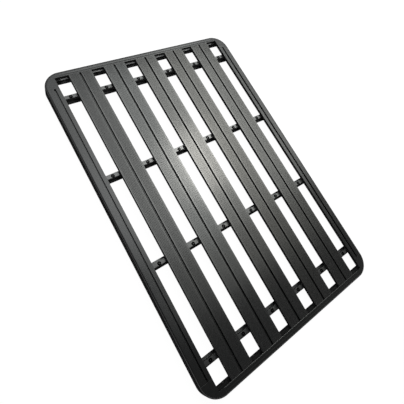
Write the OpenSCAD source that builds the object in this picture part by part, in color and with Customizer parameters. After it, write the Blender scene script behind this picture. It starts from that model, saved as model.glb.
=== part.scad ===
// Flat platform roof rack: a rounded perimeter frame of aluminium extrusions with cast
// corners, five slotted planks along it and four stepped crossbars underneath.
// Origin: middle of the footprint at the height of the underside.
// X across the vehicle, Y along it with +Y to the front, Z up.

/* [Overall] */
// Overall width across the side rails
deck_w = 1242; // [1142:10:1442]
// Overall length across the end rails
deck_l = 1842; // [1542:10:2142]
// Height of the perimeter frame
rail_h = 60; // [56:1:66]
// Radius of the four corners seen from above
corner_r = 100; // [88:1:130]
// Radius along the frame's outer top edge
edge_r = 11; // [8:0.5:14]
// Radius along the frame's outer bottom edge
foot_r = 3; // [2:0.5:5]

/* [Planks] */
// Distance between the planks' centre lines
plank_pitch = 205; // [196:1:210]
// Width of one plank
plank_w = 131; // [114:1:140]
// Height of one plank
plank_h = 20; // [18:1:23]
// Radius on the planks' upper long edges
plank_edge_r = 2; // [1:0.5:3]
// Wall thickness of the plank extrusion
plank_t = 2.2; // [1.8:0.1:2.6]
// Distance between the fine grooves along the planks' tops
groove_pitch = 7.25; // [6.5:0.25:8]
// Width of one fine groove, twice its depth
groove_w = 1.6; // [1:0.2:2.2]

/* [Accessory slots] */
// Width of the slot's mouth in the top face
slot_w = 10; // [8:0.5:12]
// Width of the slot under its lips
slot_inner_w = 20; // [18:1:24]
// Depth of the slot under its lips
slot_depth = 8; // [6:0.5:9]
// Thickness of the slot's lips
lip_t = 2.5; // [2:0.1:3]

/* [Perimeter frame] */
// Width of the side rails' box section seen from above
tube_w = 30; // [27:1:34]
// Width of the end rails' box section seen from above
end_tube_w = 36; // [32:1:42]
// Wall thickness of the frame's extrusions
tube_t = 2.5; // [2:0.1:3]
// Width of the side rail's inner strip beside the box section
strip_w = 40; // [38:0.5:46]
// Distance from the strip's inner edge to the slot's centre line
slot_in = 26; // [24:0.5:26]
// Width of the end rail's ledge that carries the plank ends
ledge_w = 8; // [6:1:14]
// Distance from the end rail's inner edge to the middle of the hollow along its top
dish_in = 13; // [11:0.5:15]
// Radius that the hollow is cut with
dish_r = 28; // [22:1:36]
// Depth of the hollow
dish_depth = 0.4; // [0.2:0.1:0.6]
// Radius on the end rail's inner top edge
lap_r = 2; // [1:0.5:3]

/* [Crossbars] */
// Distance from the frame's end to the outer crossbar's centre line
bar_end = 159; // [140:1:200]
// Distance by which the row of crossbars is set off from the middle towards the front
bar_shift = 3; // [-6:1:6]
// Width of the crossbar's base
bar_base_w = 43; // [38:1:50]
// Width of the crossbar's raised seat under the planks
bar_pad_w = 24; // [22:1:32]
// Height of the raised seat above the base
bar_pad_h = 24; // [18:1:26]
// Wall thickness of the crossbar
bar_t = 2.5; // [2:0.1:3]
// Radius of the access hole in the seat
access_r = 7.5; // [5:0.5:8]
// Radius of the bolt hole in the base
bolt_r = 4.5; // [3.5:0.25:5]

/* [Corner castings] */
// Wall thickness of the casting
cast_t = 3.5; // [3:0.25:4.5]
// Length of the tenon that plugs into a rail
tenon_l = 40; // [30:1:60]
// Wall thickness of the tenon
tenon_t = 3; // [2.5:0.25:4]
// Clearance round the tenon on each side
tenon_gap = 0.3; // [0.2:0.05:0.5]

/* [Hidden] */
$fn = 48;
planks = 5;
bars = 4;
grooves = 7;
half_w = deck_w / 2;
half_l = deck_l / 2;
// how far a cutter runs past the face it opens
past = 1;
// level of the planks' underside, the ledge and the crossbars' seats
seat_z = rail_h - plank_h;
// lowest level of the slot
slot_z = rail_h - lip_t - slot_depth;
side_w = tube_w + strip_w;
slot_x = half_w - side_w + slot_in;
// inner faces of the frame above the seat level
in_x = half_w - side_w;
in_y = half_l - end_tube_w;
// the box section's inner face and the ledge's inner face, below the seat level
box_x = half_w - tube_w;
ledge_y = in_y - ledge_w;
// where the straight rails end and the corner castings begin
side_end = half_l - corner_r;
end_end = half_w - corner_r;
// the web inside the frame's extrusions, just under the seat level
web_z = seat_z - tube_t;
bar_y = half_l - bar_end;
bar_step = 2 * bar_y / (bars - 1);
bar_base_h = seat_z - bar_pad_h;
// the gaps between planks, from the middle outwards, that the holes are centred in
last_plank = (planks - 1) / 2 * plank_pitch + plank_w / 2;
outer_hole_x = (last_plank + in_x) / 2;
hole_xs = [-outer_hole_x, -1.5 * plank_pitch, -plank_pitch / 2, plank_pitch / 2, 1.5 * plank_pitch, outer_hole_x];
plank_rib_x = (slot_inner_w / 2 + plank_t + plank_w / 2) / 2;
paint = [0.16, 0.16, 0.17];
dark = [0.12, 0.12, 0.13];

// Upright section of the frame: the outer face at x = reach, both outer edges rounded.
module frame_section(reach, width, low, high, top_r, low_r) {
    translate([reach - width, low]) square([width - max(top_r, low_r), high - low]);
    translate([reach - width, low + low_r]) square([width, high - low - low_r - top_r]);
    translate([reach - width, high - top_r - past]) square([width - top_r, top_r + past]);
    translate([reach - width, low]) square([width - low_r, low_r + past]);
    translate([reach - top_r, high - top_r]) circle(top_r);
    translate([reach - low_r, low + low_r]) circle(low_r);
}

// The two chambers of the frame's box section, above and below its web.
module box_chambers(reach, width, low_width) {
    frame_section(reach - tube_t, width - 2 * tube_t, seat_z, rail_h - tube_t, edge_r - tube_t, 0.5);
    translate([reach - low_width + tube_t, tube_t]) square([low_width - 2 * tube_t, web_z - tube_t]);
}

// The grooves along one half of a plank's top, midway between the slot's mouth and the edge.
module plank_grooves() {
    middle = (slot_w + plank_w) / 4;
    for (n = [0:grooves - 1])
        translate([middle + (n - (grooves - 1) / 2) * groove_pitch, rail_h])
            rotate(45) square(groove_w / sqrt(2), center = true);
}

// Slot with a narrow mouth and a wide channel, about x = 0.
module slot_section() {
    translate([-slot_w / 2, slot_z]) square([slot_w, rail_h + past - slot_z]);
    translate([-slot_inner_w / 2, slot_z]) square([slot_inner_w, slot_depth]);
}

module side_section() {
    strip_t = plank_t;
    slot_low = slot_in - slot_inner_w / 2;
    difference() {
        union() {
            frame_section(half_w, tube_w, 0, rail_h, edge_r, foot_r);
            translate([in_x, seat_z]) square([strip_w + tube_t, plank_h]);
        }
        box_chambers(half_w, tube_w, tube_w);
        translate([slot_x, 0]) slot_section();
        translate([in_x + strip_t, seat_z + strip_t])
            square([slot_low - 2 * strip_t, plank_h - 2 * strip_t]);
        translate([in_x + slot_low, seat_z + strip_t])
            square([slot_inner_w, slot_z - strip_t - (seat_z + strip_t)]);
    }
}

module side_rail() {
    translate([0, side_end, 0]) rotate([90, 0, 0]) linear_extrude(2 * side_end) side_section();
}

// Shallow round hollow along the end rail's top, grown by t.
module dish(t) {
    translate([in_y + dish_in, rail_h - dish_depth + dish_r]) circle(dish_r + t);
}

module end_section() {
    difference() {
        union() {
            frame_section(half_l, end_tube_w, 0, rail_h, edge_r, foot_r);
            translate([ledge_y, 0]) square([ledge_w + tube_t, seat_z]);
        }
        difference() {
            box_chambers(half_l, end_tube_w, end_tube_w + ledge_w);
            dish(tube_t);
        }
        dish(0);
        difference() {
            translate([in_y - past, rail_h - lap_r]) square([lap_r + past, lap_r + past]);
            translate([in_y + lap_r, rail_h - lap_r]) circle(lap_r);
        }
    }
}

module end_rail() {
    translate([-end_end, 0, 0]) rotate([90, 0, 90]) linear_extrude(2 * end_end) end_section();
}

// Quarter of a solid turned about the corner's centre.
module corner_turn(reach, high, top_r, low_r) {
    translate([end_end, side_end, 0]) rotate_extrude(angle = 90, $fn = 96)
        intersection() {
            frame_section(reach, reach + past, 0, high, top_r, low_r);
            square([reach, high]);
        }
}

// The space inside the frame at a corner: t thickens it by the casting's wall.
module corner_inside(t) {
    translate([end_end - past, side_end - past, seat_z - t])
        cube([in_x + t - end_end + past, in_y + t - side_end + past, plank_h + t + past]);
    translate([end_end - past, side_end - past, -past])
        cube([box_x + t - end_end + past, ledge_y + t - side_end + past, seat_z + t + past]);
}

module tenon(width) {
    high = web_z - tube_t - 2 * tenon_gap;
    difference() {
        cube([tenon_l + past, width, high]);
        translate([-past, tenon_t, tenon_t])
            cube([tenon_l + past, width - 2 * tenon_t, high - 2 * tenon_t]);
    }
}

module corner() {
    side_tenon_w = tube_w - 2 * tube_t - 2 * tenon_gap;
    end_tenon_w = end_tube_w + ledge_w - 2 * tube_t - 2 * tenon_gap;
    low = tube_t + tenon_gap;
    difference() {
        corner_turn(corner_r, rail_h, edge_r, foot_r);
        corner_inside(0);
        difference() {
            translate([0, 0, -past])
                corner_turn(corner_r - cast_t, rail_h - cast_t + past, edge_r - cast_t, 0.5);
            corner_inside(cast_t);
            translate([end_end - past, side_end - past, -2 * past])
                cube([cast_t + past, corner_r + past, rail_h + 2 * past]);
            translate([end_end - past, side_end - past, -2 * past])
                cube([corner_r + past, cast_t + past, rail_h + 2 * past]);
        }
    }
    translate([half_w - tube_t - tenon_gap - side_tenon_w, side_end + past, low])
        rotate([0, 0, -90]) tenon(side_tenon_w);
    translate([end_end + past, half_l - tube_t - tenon_gap, low])
        rotate([0, 0, 180]) tenon(end_tenon_w);
}

module plank_section() {
    hollow_h = plank_h - 2 * plank_t;
    inner = slot_inner_w / 2 + plank_t;
    outer = plank_w / 2 - plank_t;
    difference() {
        union() {
            translate([-plank_w / 2, seat_z]) square([plank_w, plank_h - plank_edge_r]);
            translate([plank_edge_r - plank_w / 2, seat_z]) square([plank_w - 2 * plank_edge_r, plank_h]);
            for (s = [-1, 1])
                translate([s * (plank_w / 2 - plank_edge_r), rail_h - plank_edge_r]) circle(plank_edge_r);
        }
        slot_section();
        translate([-slot_inner_w / 2, seat_z + plank_t])
            square([slot_inner_w, slot_z - plank_t - (seat_z + plank_t)]);
        for (s = [0, 1]) mirror([s, 0]) {
            plank_grooves();
            translate([inner, seat_z + plank_t]) square([plank_rib_x - plank_t / 2 - inner, hollow_h]);
            translate([plank_rib_x + plank_t / 2, seat_z + plank_t])
                square([outer - plank_rib_x - plank_t / 2, hollow_h]);
        }
    }
}

module plank(i) {
    translate([(i - (planks + 1) / 2) * plank_pitch, in_y, 0])
        rotate([90, 0, 0]) linear_extrude(2 * in_y) plank_section();
}

module bar_section() {
    difference() {
        union() {
            translate([-bar_base_w / 2, 0]) square([bar_base_w, bar_base_h]);
            translate([-bar_pad_w / 2, 0]) square([bar_pad_w, seat_z]);
        }
        translate([bar_t - bar_base_w / 2, bar_t])
            square([bar_base_w - 2 * bar_t, bar_base_h - 2 * bar_t]);
        translate([bar_t - bar_pad_w / 2, bar_t]) square([bar_pad_w - 2 * bar_t, seat_z - 2 * bar_t]);
    }
}

module crossbar(i) {
    translate([0, bar_shift + bar_y - (i - 1) * bar_step, 0]) difference() {
        translate([-box_x, 0, 0]) rotate([90, 0, 90]) linear_extrude(2 * box_x) bar_section();
        for (x = hole_xs) {
            translate([x, 0, seat_z - bar_t - past]) cylinder(r = access_r, h = bar_t + 2 * past);
            translate([x, 0, -past]) cylinder(r = bolt_r, h = bar_t + 2 * past);
        }
    }
}

module side_rail_left() { color(paint) mirror([1, 0, 0]) side_rail(); }
module side_rail_right() { color(paint) side_rail(); }
module end_rail_front() { color(paint) end_rail(); }
module end_rail_rear() { color(paint) mirror([0, 1, 0]) end_rail(); }
module corner_front_right() { color(dark) corner(); }
module corner_front_left() { color(dark) mirror([1, 0, 0]) corner(); }
module corner_rear_right() { color(dark) mirror([0, 1, 0]) corner(); }
module corner_rear_left() { color(dark) mirror([1, 0, 0]) mirror([0, 1, 0]) corner(); }
module plank_1() { color(paint) plank(1); }
module plank_2() { color(paint) plank(2); }
module plank_3() { color(paint) plank(3); }
module plank_4() { color(paint) plank(4); }
module plank_5() { color(paint) plank(5); }
module crossbar_1() { color(dark) crossbar(1); }
module crossbar_2() { color(dark) crossbar(2); }
module crossbar_3() { color(dark) crossbar(3); }
module crossbar_4() { color(dark) crossbar(4); }

side_rail_left();
side_rail_right();
end_rail_front();
end_rail_rear();
corner_front_left();
corner_front_right();
corner_rear_left();
corner_rear_right();
plank_1();
plank_2();
plank_3();
plank_4();
plank_5();
crossbar_1();
crossbar_2();
crossbar_3();
crossbar_4();
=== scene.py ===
import math
import bmesh
import bpy
from mathutils import Matrix, Quaternion, Vector


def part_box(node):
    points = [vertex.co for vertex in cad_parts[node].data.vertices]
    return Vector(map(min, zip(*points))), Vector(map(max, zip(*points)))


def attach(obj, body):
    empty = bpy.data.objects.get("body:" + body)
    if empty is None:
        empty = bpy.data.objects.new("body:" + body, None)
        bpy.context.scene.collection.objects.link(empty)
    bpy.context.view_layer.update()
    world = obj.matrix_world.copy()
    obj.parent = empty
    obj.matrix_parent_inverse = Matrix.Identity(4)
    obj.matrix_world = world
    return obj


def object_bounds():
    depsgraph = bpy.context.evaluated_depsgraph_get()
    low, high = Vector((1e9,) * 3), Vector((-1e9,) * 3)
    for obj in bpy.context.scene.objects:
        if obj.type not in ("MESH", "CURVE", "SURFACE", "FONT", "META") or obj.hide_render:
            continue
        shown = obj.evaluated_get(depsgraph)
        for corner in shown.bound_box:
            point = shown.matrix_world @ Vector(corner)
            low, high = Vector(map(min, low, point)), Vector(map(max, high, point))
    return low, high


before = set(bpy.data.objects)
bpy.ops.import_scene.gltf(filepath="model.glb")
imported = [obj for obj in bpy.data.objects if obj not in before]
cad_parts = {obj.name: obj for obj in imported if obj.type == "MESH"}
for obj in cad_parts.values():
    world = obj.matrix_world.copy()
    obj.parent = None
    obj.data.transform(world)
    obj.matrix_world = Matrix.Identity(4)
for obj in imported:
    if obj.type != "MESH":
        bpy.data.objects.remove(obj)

cad_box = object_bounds()

# The camera stands to the left of the rack and a little behind its middle, and looks
# down at it, turned about its own axis as in the photograph.
camera_data = bpy.data.cameras.new("camera")
camera_data.sensor_width = 36
camera_data.lens = 30.74
camera_data.shift_x, camera_data.shift_y = -0.0309, -0.0829
camera = bpy.data.objects.new("camera", camera_data)
camera.location = (-0.9673, -0.2806, 1.7739)
camera.rotation_mode = "QUATERNION"
camera.rotation_quaternion = Quaternion((0.934098, 0.147667, -0.227193, -0.232461))
bpy.context.scene.collection.objects.link(camera)
bpy.context.scene.camera = camera


# Side and end rails: hollow aluminium extrusions, the side rails with an accessory slot
# along the top and the end rails with a ledge for the plank ends. All of it is
# powder-coated black after it is joined, with a fine dry texture and a satin sheen.
class Socket:
    """One value inside a material's node tree."""

    def __init__(self, tree, out=None):
        self.tree, self.out = tree, out

    def feed(self, node, **inputs):
        """Set or link a node's inputs, each by its name or as i0, i1 and so on."""
        for key, value in inputs.items():
            slot = node.inputs[int(key[1:]) if key[1:].isdigit() else key.replace("_", " ")]
            if isinstance(value, Socket):
                self.tree.links.new(value.out, slot)
            else:
                slot.default_value = value

    def make(self, kind, settings=None, output=0, **inputs):
        """Add a node of any type, with its settings first and then its inputs."""
        node = self.tree.nodes.new(kind)
        for key, value in (settings or {}).items():
            setattr(node, key, value)
        self.feed(node, **inputs)
        return Socket(self.tree, node.outputs[output])

    def math(self, operation, *values):
        inputs = {"i%d" % place: value for place, value in enumerate(values)}
        return self.make("ShaderNodeMath", {"operation": operation}, **inputs)

    def vector(self, operation, *values, output="Vector"):
        inputs = {"i%d" % place: value for place, value in enumerate(values)}
        return self.make("ShaderNodeVectorMath", {"operation": operation}, output, **inputs)

    def __add__(self, other):
        return self.math("ADD", self, other)

    def __radd__(self, other):
        return self.math("ADD", other, self)

    def __sub__(self, other):
        return self.math("SUBTRACT", self, other)

    def __rsub__(self, other):
        return self.math("SUBTRACT", other, self)

    def __mul__(self, other):
        return self.math("MULTIPLY", self, other)

    def __rmul__(self, other):
        return self.math("MULTIPLY", other, self)

    def __lt__(self, other):
        return self.math("LESS_THAN", self, other)

    def __gt__(self, other):
        return self.math("GREATER_THAN", self, other)


def middle(node):
    """Middle of a CAD node's box."""
    low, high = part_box(node)
    return (low + high) / 2


# Where the coat and its painted shade change, in metres. First heights above the ground: the
# top of the crossbars' seats and steps, the floor of the slots, and the deck's rounded edge.
deck_top, seat_top, step_top = cad_box[1].z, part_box("crossbar_1")[1].z, 0.016
slot_floor_top, deck_edge, same_level = deck_top - 0.0105, deck_top - 0.0026, 0.0006
# Places along the rack from a crossbar's middle, and distances across it from a slot's
# middle. The polished lines are given by their middle and half their width.
front_bar = middle("crossbar_1").y
bar_pitch = front_bar - middle("crossbar_2").y
seat_rear, step_front = -0.0085, 0.012
# The slot's lips get painted shade out to the first of these distances from its middle.
shaded_slot_lip, slot_line, edge_line = 0.0062, (0.011, 0.0035), (0.06, 0.0055)
# The painted shade inside the frame ends on a rounded corner about the rails' ends. The 1
# leaves heights out of it. A rail whose slot is left without painted shade has none within 10 m.
rail_end, end_rail_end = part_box("side_rail_right")[1].y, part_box("end_rail_front")[1].x
corner_centre, inside_radius = (end_rail_end, rail_end, 1), 0.0875
far_away = 10


def powder_coat(name, shade, sheen, grain, seed, gloss, tint=(1, 1, 1), rounding=0.0012,
                edge_wear_and_highlight=0.5, slots=(far_away, far_away), rubbed=0.0, lines=0.0):
    """Black powder coat: its grey, roughness, texture's height and rounding of edges in metres.

    seed shifts its pattern, and gloss and tint are the strength and colour of its sheen.
    slots is where one slot lies across the rack and half the distance between slots; painted
    shade darkens the slots' lips.
    edge wear is how far the edges are bared and lightened with a painted highlight, rubbed how
    far the seats and ledges are worn, and lines how far the coat is polished along each
    plank's slot and edges.
    """
    material = bpy.data.materials.new(name)
    material.use_nodes = True
    nodes = material.node_tree.nodes
    satin = nodes["Principled BSDF"]
    place = Socket(material.node_tree).make("ShaderNodeTexCoord", output="Object")
    normal = place.make("ShaderNodeNewGeometry", output="Normal")
    shifted = place.vector("ADD", place, (seed, seed * 0.7, 0.3))

    def noise(scale, detail, rough=0.5):
        return shifted.make("ShaderNodeTexNoise", Vector=shifted, Scale=scale,
                            Detail=detail, Roughness=rough)

    # The coat's own pattern: wide clouds, blotches about 25 mm wide, fine specks, dust in the
    # blotches, and bare edges where the rounding turns away from its face, lightened also as a
    # painted highlight along the edges.
    cloud, blotch, speck = noise(3.0, 3.0), noise(38.0, 4.0, 0.6), noise(900.0, 2.0)
    rounded = place.make("ShaderNodeBevel", {"samples": 4}, Radius=rounding)
    edge = (1 - rounded.vector("DOT_PRODUCT", rounded, normal, output="Value")) * 6.0
    bare_and_highlit_edge = place.make("ShaderNodeMapRange", Value=edge * blotch, From_Min=0.25, From_Max=0.9)
    dust = place.make("ShaderNodeMapRange", Value=blotch, From_Min=0.55, From_Max=0.8)

    # Seats and steps of the crossbars, and how far a point lies from the nearest slot.
    across, along, height = (place.make("ShaderNodeSeparateXYZ", output=axis, Vector=place)
                             for axis in "XYZ")
    from_bar = along.math("WRAP", along - front_bar, bar_pitch / 2, -bar_pitch / 2)
    from_slot = across.math("PINGPONG", across - slots[0], slots[1])

    def level_at(top):
        return height.math("COMPARE", height, top, same_level)

    seat = level_at(seat_top) * (from_bar > seat_rear)
    seat = seat + level_at(step_top) * (from_bar > step_front)

    grey = shade * 0.86 + cloud * (shade * 0.22) + speck * (shade * 0.12) + dust * (shade * 0.15)
    # Edges lighter in patches: bare coat, and a painted highlight where the rounding catches light.
    grey = grey + bare_and_highlit_edge * (0.05 * edge_wear_and_highlight) + seat * blotch * rubbed
    tone = grey.make("ShaderNodeCombineColor", Red=grey, Green=grey * 1.005, Blue=grey * 1.03)
    rough = sheen - 0.03 + blotch * 0.04 + speck * 0.02 - bare_and_highlit_edge * (0.1 * edge_wear_and_highlight)
    pebble = noise(620.0, 3.0, 0.6) + noise(230.0, 2.0) * 0.5
    bump = place.make("ShaderNodeBump", Strength=0.9, Distance=grain, Height=pebble, Normal=rounded)
    place.feed(satin, Base_Color=tone, Roughness=rough, Normal=bump, IOR=1.5,
               Specular_IOR_Level=gloss, Specular_Tint=(*tint, 1))
    if lines:
        polished = from_slot.math("COMPARE", from_slot, *slot_line)
        polished = polished + from_slot.math("COMPARE", from_slot, *edge_line)
        place.feed(satin, Coat_Weight=polished * lines, Coat_Roughness=sheen)

    # Painted shade in the recesses: everything inside the outline and below the deck's top
    # is given a darker, rougher coat with little sheen, and so are the slots' lips, but not the
    # seats up to their rear edge, the crossbars' front steps, the ledges, the slots' floors and
    # the undersides.
    past_centre = place.vector("SUBTRACT", place.vector("ABSOLUTE", place), corner_centre)
    past_centre = past_centre.vector("MAXIMUM", past_centre, (0, 0, 0))
    outward = past_centre.vector("LENGTH", past_centre, output="Value")
    upward = normal.make("ShaderNodeSeparateXYZ", output="Z", Vector=normal)
    slot_wall = 1 - level_at(slot_floor_top)
    painted_shade = (outward < inside_radius) * (height < deck_edge) * (upward > -0.5)
    painted_shade = painted_shade * (1 - seat) * slot_wall
    painted_shade = painted_shade.math("MAXIMUM", painted_shade, (from_slot < shaded_slot_lip) * slot_wall)
    # The painted shade: the coat's grey at 0.4 of its level, rough and with little sheen.
    painted_shade_coat = place.make("ShaderNodeBsdfPrincipled", Roughness=0.7 + blotch * 0.2, Normal=bump,
                      Base_Color=tone.make("ShaderNodeVectorMath", {"operation": "SCALE"},
                                           i0=tone, Scale=0.4),
                      Specular_IOR_Level=0.15)
    satin_out = Socket(material.node_tree, satin.outputs["BSDF"])
    both = painted_shade.make("ShaderNodeMixShader", i0=painted_shade, i1=satin_out, i2=painted_shade_coat)
    place.feed(nodes["Material Output"], Surface=both)
    return material


def coat(node, material):
    """Give a CAD node its finish."""
    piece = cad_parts[node]
    for spot in piece.material_slots:
        spot.material = material
    if not piece.material_slots:
        piece.data.materials.append(material)


rail_shade, rail_sheen, rail_grain = 0.012, 0.24, 0.000005
rail_coat = powder_coat("rail_coat", rail_shade, rail_sheen, rail_grain, 0.0, 0.46,
                        edge_wear_and_highlight=0.1, rubbed=0.25)
for rail in ("side_rail_left", "end_rail_front"):
    coat(rail, rail_coat)
coat("end_rail_rear", powder_coat("rear_rail_coat", rail_shade, rail_sheen, rail_grain, 0.0, 0.46,
                                  rounding=0.0004, edge_wear_and_highlight=0.1))
right_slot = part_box("side_rail_right")[0].x + 0.026
coat("side_rail_right", powder_coat("right_rail_coat", rail_shade, rail_sheen, rail_grain, 0.5,
                                    0.47, slots=(right_slot, far_away)))

# Corners: aluminium castings that plug into the rails with tenons. They have the same
# coat, a little coarser over the cast skin.
corner_coat = powder_coat("corner_coat", 0.012, 0.245, 0.000008, 3.0, 0.45, edge_wear_and_highlight=0.05)
for corner in ("front_left", "front_right", "rear_left", "rear_right"):
    coat("corner_" + corner, corner_coat)

# Crossbars: stepped hollow aluminium extrusions under the planks, drilled in every
# opening and screwed to the planks from below. Their coat is a little greyer.
bar_coat = powder_coat("bar_coat", 0.03, 0.28, 0.000012, 7.0, 0.62)
for number in (1, 2, 3, 4):
    coat("crossbar_%d" % number, bar_coat)


# Hole plugs: a black rubber plug in the access hole of every opening, with a thick matt
# rim that lies on the seat and a smooth pressed middle. They pull out for the bolts.
# The rim's flat black without sheen is painted shade, standing for the shade inside the hole.
def small_finish(name, low, high, rough, gloss):
    """Near-black finish between two greys, with its roughness and the strength of its sheen."""
    material = bpy.data.materials.new(name)
    material.use_nodes = True
    place = Socket(material.node_tree).make("ShaderNodeTexCoord", output="Object")
    dust = place.make("ShaderNodeTexNoise", Vector=place, Scale=420.0, Detail=5.0)
    grey = low + dust * (high - low)
    tone = grey.make("ShaderNodeCombineColor", Red=grey, Green=grey, Blue=grey * 1.03)
    bump = dust.make("ShaderNodeBump", Strength=0.5, Distance=0.00002, Height=dust)
    place.feed(material.node_tree.nodes["Principled BSDF"], Base_Color=tone,
               Roughness=rough + dust * 0.2, Normal=bump, Specular_IOR_Level=gloss)
    return material


def turned(mesh, foot, rings):
    """Closed turned form on its foot: rings of radius, height and the material above them.

    Radius and height are in millimetres.
    """
    steps = 40
    loops = []
    for radius, height, material in rings:
        loops.append([mesh.verts.new(foot @ Vector((radius * math.cos(turn) / 1000,
                                                    radius * math.sin(turn) / 1000,
                                                    height / 1000)))
                      for turn in (step * 2 * math.pi / steps for step in range(steps))])
    mesh.faces.new(loops[0][::-1])
    mesh.faces.new(loops[-1]).material_index = rings[-1][2]
    for low, high, ring in zip(loops, loops[1:], rings):
        for step in range(steps):
            after = (step + 1) % steps
            face = mesh.faces.new((low[step], low[after], high[after], high[step]))
            face.material_index, face.smooth = ring[2], True


def finished(name, mesh, finishes):
    """Turn a mesh into an object with its finishes."""
    data = bpy.data.meshes.new(name)
    mesh.to_mesh(data)
    mesh.free()
    piece = bpy.data.objects.new(name, data)
    for finish in finishes:
        data.materials.append(finish)
    bpy.context.scene.collection.objects.link(piece)
    return piece


# Painted shade: the plugs' rim is flat black with no sheen at all.
hole_shade_rubber = small_finish("hole_shade_rubber", 0.0, 0.004, 0.75, 0.0)
middle_rubber = small_finish("middle_rubber", 0.005, 0.02, 0.2, 0.3)
stem = ((6.6, -4.5, 0), (7.3, -3.5, 0), (7.3, 0.02, 0))
rim = ((9.6, 0.02, 0), (10.0, 0.4, 0), (10.0, 1.2, 0), (9.6, 1.8, 0), (8.9, 2.0, 0))
dish = ((8.0, 1.8, 0), (3.3, 0.9, 0), (2.9, 0.9, 1))
edges = [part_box("side_rail_left")[1].x]
for number in (1, 2, 3, 4, 5):
    edges += [corner.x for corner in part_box("plank_%d" % number)]
edges.append(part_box("side_rail_right")[0].x)
holes = [(left + right) / 2 for left, right in zip(edges[::2], edges[1::2])]
for number in (1, 2, 3, 4):
    plugs_mesh = bmesh.new()
    for hole in holes:
        seat = Matrix.Translation((hole, middle("crossbar_%d" % number).y, seat_top))
        turned(plugs_mesh, seat, stem + rim + dish)
    plugs = finished("plugs_%d" % number, plugs_mesh, (hole_shade_rubber, middle_rubber))
    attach(plugs, "root")

# Corner screws: blackened steel button screws with a round socket, two on the inner face
# of each rail's end. They pass through the rail into the corner casting's tenon.
screw_steel = small_finish("screw_steel", 0.015, 0.03, 0.3, 0.5)
side_face, end_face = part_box("crossbar_1")[1].x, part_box("end_rail_front")[0].y
screw_height = 0.02
button_head = ((4.9, 0.02, 0), (5.2, 0.3, 0), (5.1, 0.9, 0), (4.4, 2.0, 0), (3.2, 2.7, 0),
               (1.9, 2.9, 0), (1.7, 2.8, 0), (1.7, 1.2, 0))
for number, (side, end) in enumerate(((-1, 1), (1, 1), (-1, -1), (1, -1)), 1):
    screws_mesh = bmesh.new()
    facing_in = Matrix.Rotation(-side * math.pi / 2, 4, "Y")
    for from_end in (0.027, 0.011):
        along = rail_end - from_end
        spot = Matrix.Translation((side * side_face, end * along, screw_height))
        turned(screws_mesh, spot @ facing_in, button_head)
    facing_in = Matrix.Rotation(end * math.pi / 2, 4, "X")
    for from_end in (0.032, 0.016):
        across = end_rail_end - from_end
        spot = Matrix.Translation((side * across, end * end_face, screw_height))
        turned(screws_mesh, spot @ facing_in, button_head)
    screws = finished("corner_screws_%d" % number, screws_mesh, (screw_steel,))
    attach(screws, "root")

# Planks: wide flat hollow aluminium extrusions, each with an accessory slot along its
# middle and fine grooves on both halves. The coat is smoother here, polished along the
# slot and the edges, and its sheen differs a little from plank to plank.
plank_pitch, slot_shift = middle("plank_4").x - middle("plank_3").x, -0.001
plank_slots = (middle("plank_3").x + slot_shift, plank_pitch / 2)
for number, gloss, sheen, tint in ((1, 0.41, 0.25, (1.0, 1.0, 1.0)),
                                   (2, 0.54, 0.225, (0.99, 1.0, 1.0)),
                                   (3, 0.52, 0.225, (1.0, 0.99, 0.97)),
                                   (4, 0.5, 0.265, (1.0, 0.98, 0.94)),
                                   (5, 0.53, 0.245, (1.0, 0.99, 0.96))):
    coat("plank_%d" % number,
         powder_coat("plank_coat_%d" % number, 0.014, sheen, 0.000002, 11.0 + number, gloss, tint,
                     rounding=0.0003, slots=plank_slots, lines=0.22))

# Floor: a level sheet of pale card that glows enough to wash out the rack's shadow and to
# light its sides. Glossy rays pass it by.
floor_paint = bpy.data.materials.new("floor_paint")
floor_paint.use_nodes = True
Socket(floor_paint.node_tree).feed(
    floor_paint.node_tree.nodes["Principled BSDF"], Base_Color=(0.05, 0.05, 0.05, 1),
    Roughness=0.9, Specular_IOR_Level=0.0, Emission_Color=(1, 1, 1, 1), Emission_Strength=0.98)
floor_mesh = bmesh.new()
bmesh.ops.create_grid(floor_mesh, x_segments=1, y_segments=1, size=8.0)
floor = finished("floor", floor_mesh, (floor_paint,))
floor.visible_glossy = False

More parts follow.
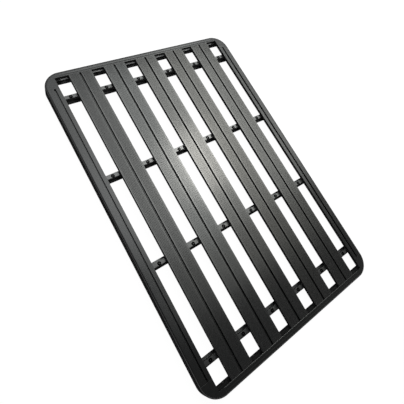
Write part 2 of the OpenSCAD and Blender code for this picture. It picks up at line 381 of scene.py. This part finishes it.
# Backdrop: a low round wall of the same pale card around the rack, so that every side
# view ends in it. It throws no shadow, and the rack only mirrors it.
wall_mesh, wall_height, wall_radius = bmesh.new(), 5.0, 7.8
bmesh.ops.create_cone(wall_mesh, segments=96, radius1=wall_radius, radius2=wall_radius,
                      depth=wall_height)
backdrop = finished("backdrop", wall_mesh, (floor_paint,))
backdrop.location = (0, 0, wall_height / 2)
backdrop.visible_diffuse = False
backdrop.visible_shadow = False


# Studio light: nine soft panels under the ceiling, which the deck mirrors. The wide one
# hangs over the front right with a small bright one below it, and the rest fade it out.
def ceiling_panel(name, left, right, near, far, height, glow, tint):
    """Soft panel facing down: its edges and height in metres, its brightness and colour."""
    data = bpy.data.lights.new(name, "AREA")
    data.shape, data.size, data.size_y = "RECTANGLE", right - left, far - near
    data.energy, data.color = glow * 4 * data.size * data.size_y, tint
    lamp = bpy.data.objects.new(name, data)
    lamp.location = ((left + right) / 2, (near + far) / 2, height)
    bpy.context.scene.collection.objects.link(lamp)


ceiling_panel("wide_panel", 0.25, 3.25, -0.25, 2.75, 3.0, 3.6, (0.97, 1.0, 0.97))
ceiling_panel("left_panel", -1.25, 0.25, -0.05, 3.25, 3.0, 1.5, (0.96, 0.99, 1.0))
ceiling_panel("rail_panel", -0.5, 0.2, 0.3, 1.5, 2.9, 1.0, (0.97, 1.0, 1.0))
ceiling_panel("near_panel", 0.2, 3.0, -1.0, -0.25, 3.0, 1.5, (0.98, 1.0, 0.94))
ceiling_panel("near_left_panel", -0.6, 0.2, -1.0, -0.05, 3.0, 0.3, (0.85, 0.92, 1.0))
ceiling_panel("core_panel", 1.1, 1.78, 0.36, 1.34, 2.9, 10.6, (1.0, 0.98, 0.92))
ceiling_panel("long_panel", 1.5, 2.45, 0.9, 3.2, 2.8, 1.6, (0.96, 1.0, 0.98))
ceiling_panel("far_panel", 0.25, 1.3, 2.75, 3.4, 2.95, 1.4, (0.96, 1.0, 1.0))
ceiling_panel("right_panel", 2.3, 3.5, 0.2, 1.2, 2.9, 1.0, (1.0, 1.0, 0.95))

world = bpy.data.worlds.new("studio")
world.use_nodes = True
world.node_tree.nodes["Background"].inputs["Color"].default_value = (1, 1, 1, 1)
world.node_tree.nodes["Background"].inputs["Strength"].default_value = 0.01
bpy.context.scene.world = world
bpy.context.scene.view_settings.view_transform = "Standard"
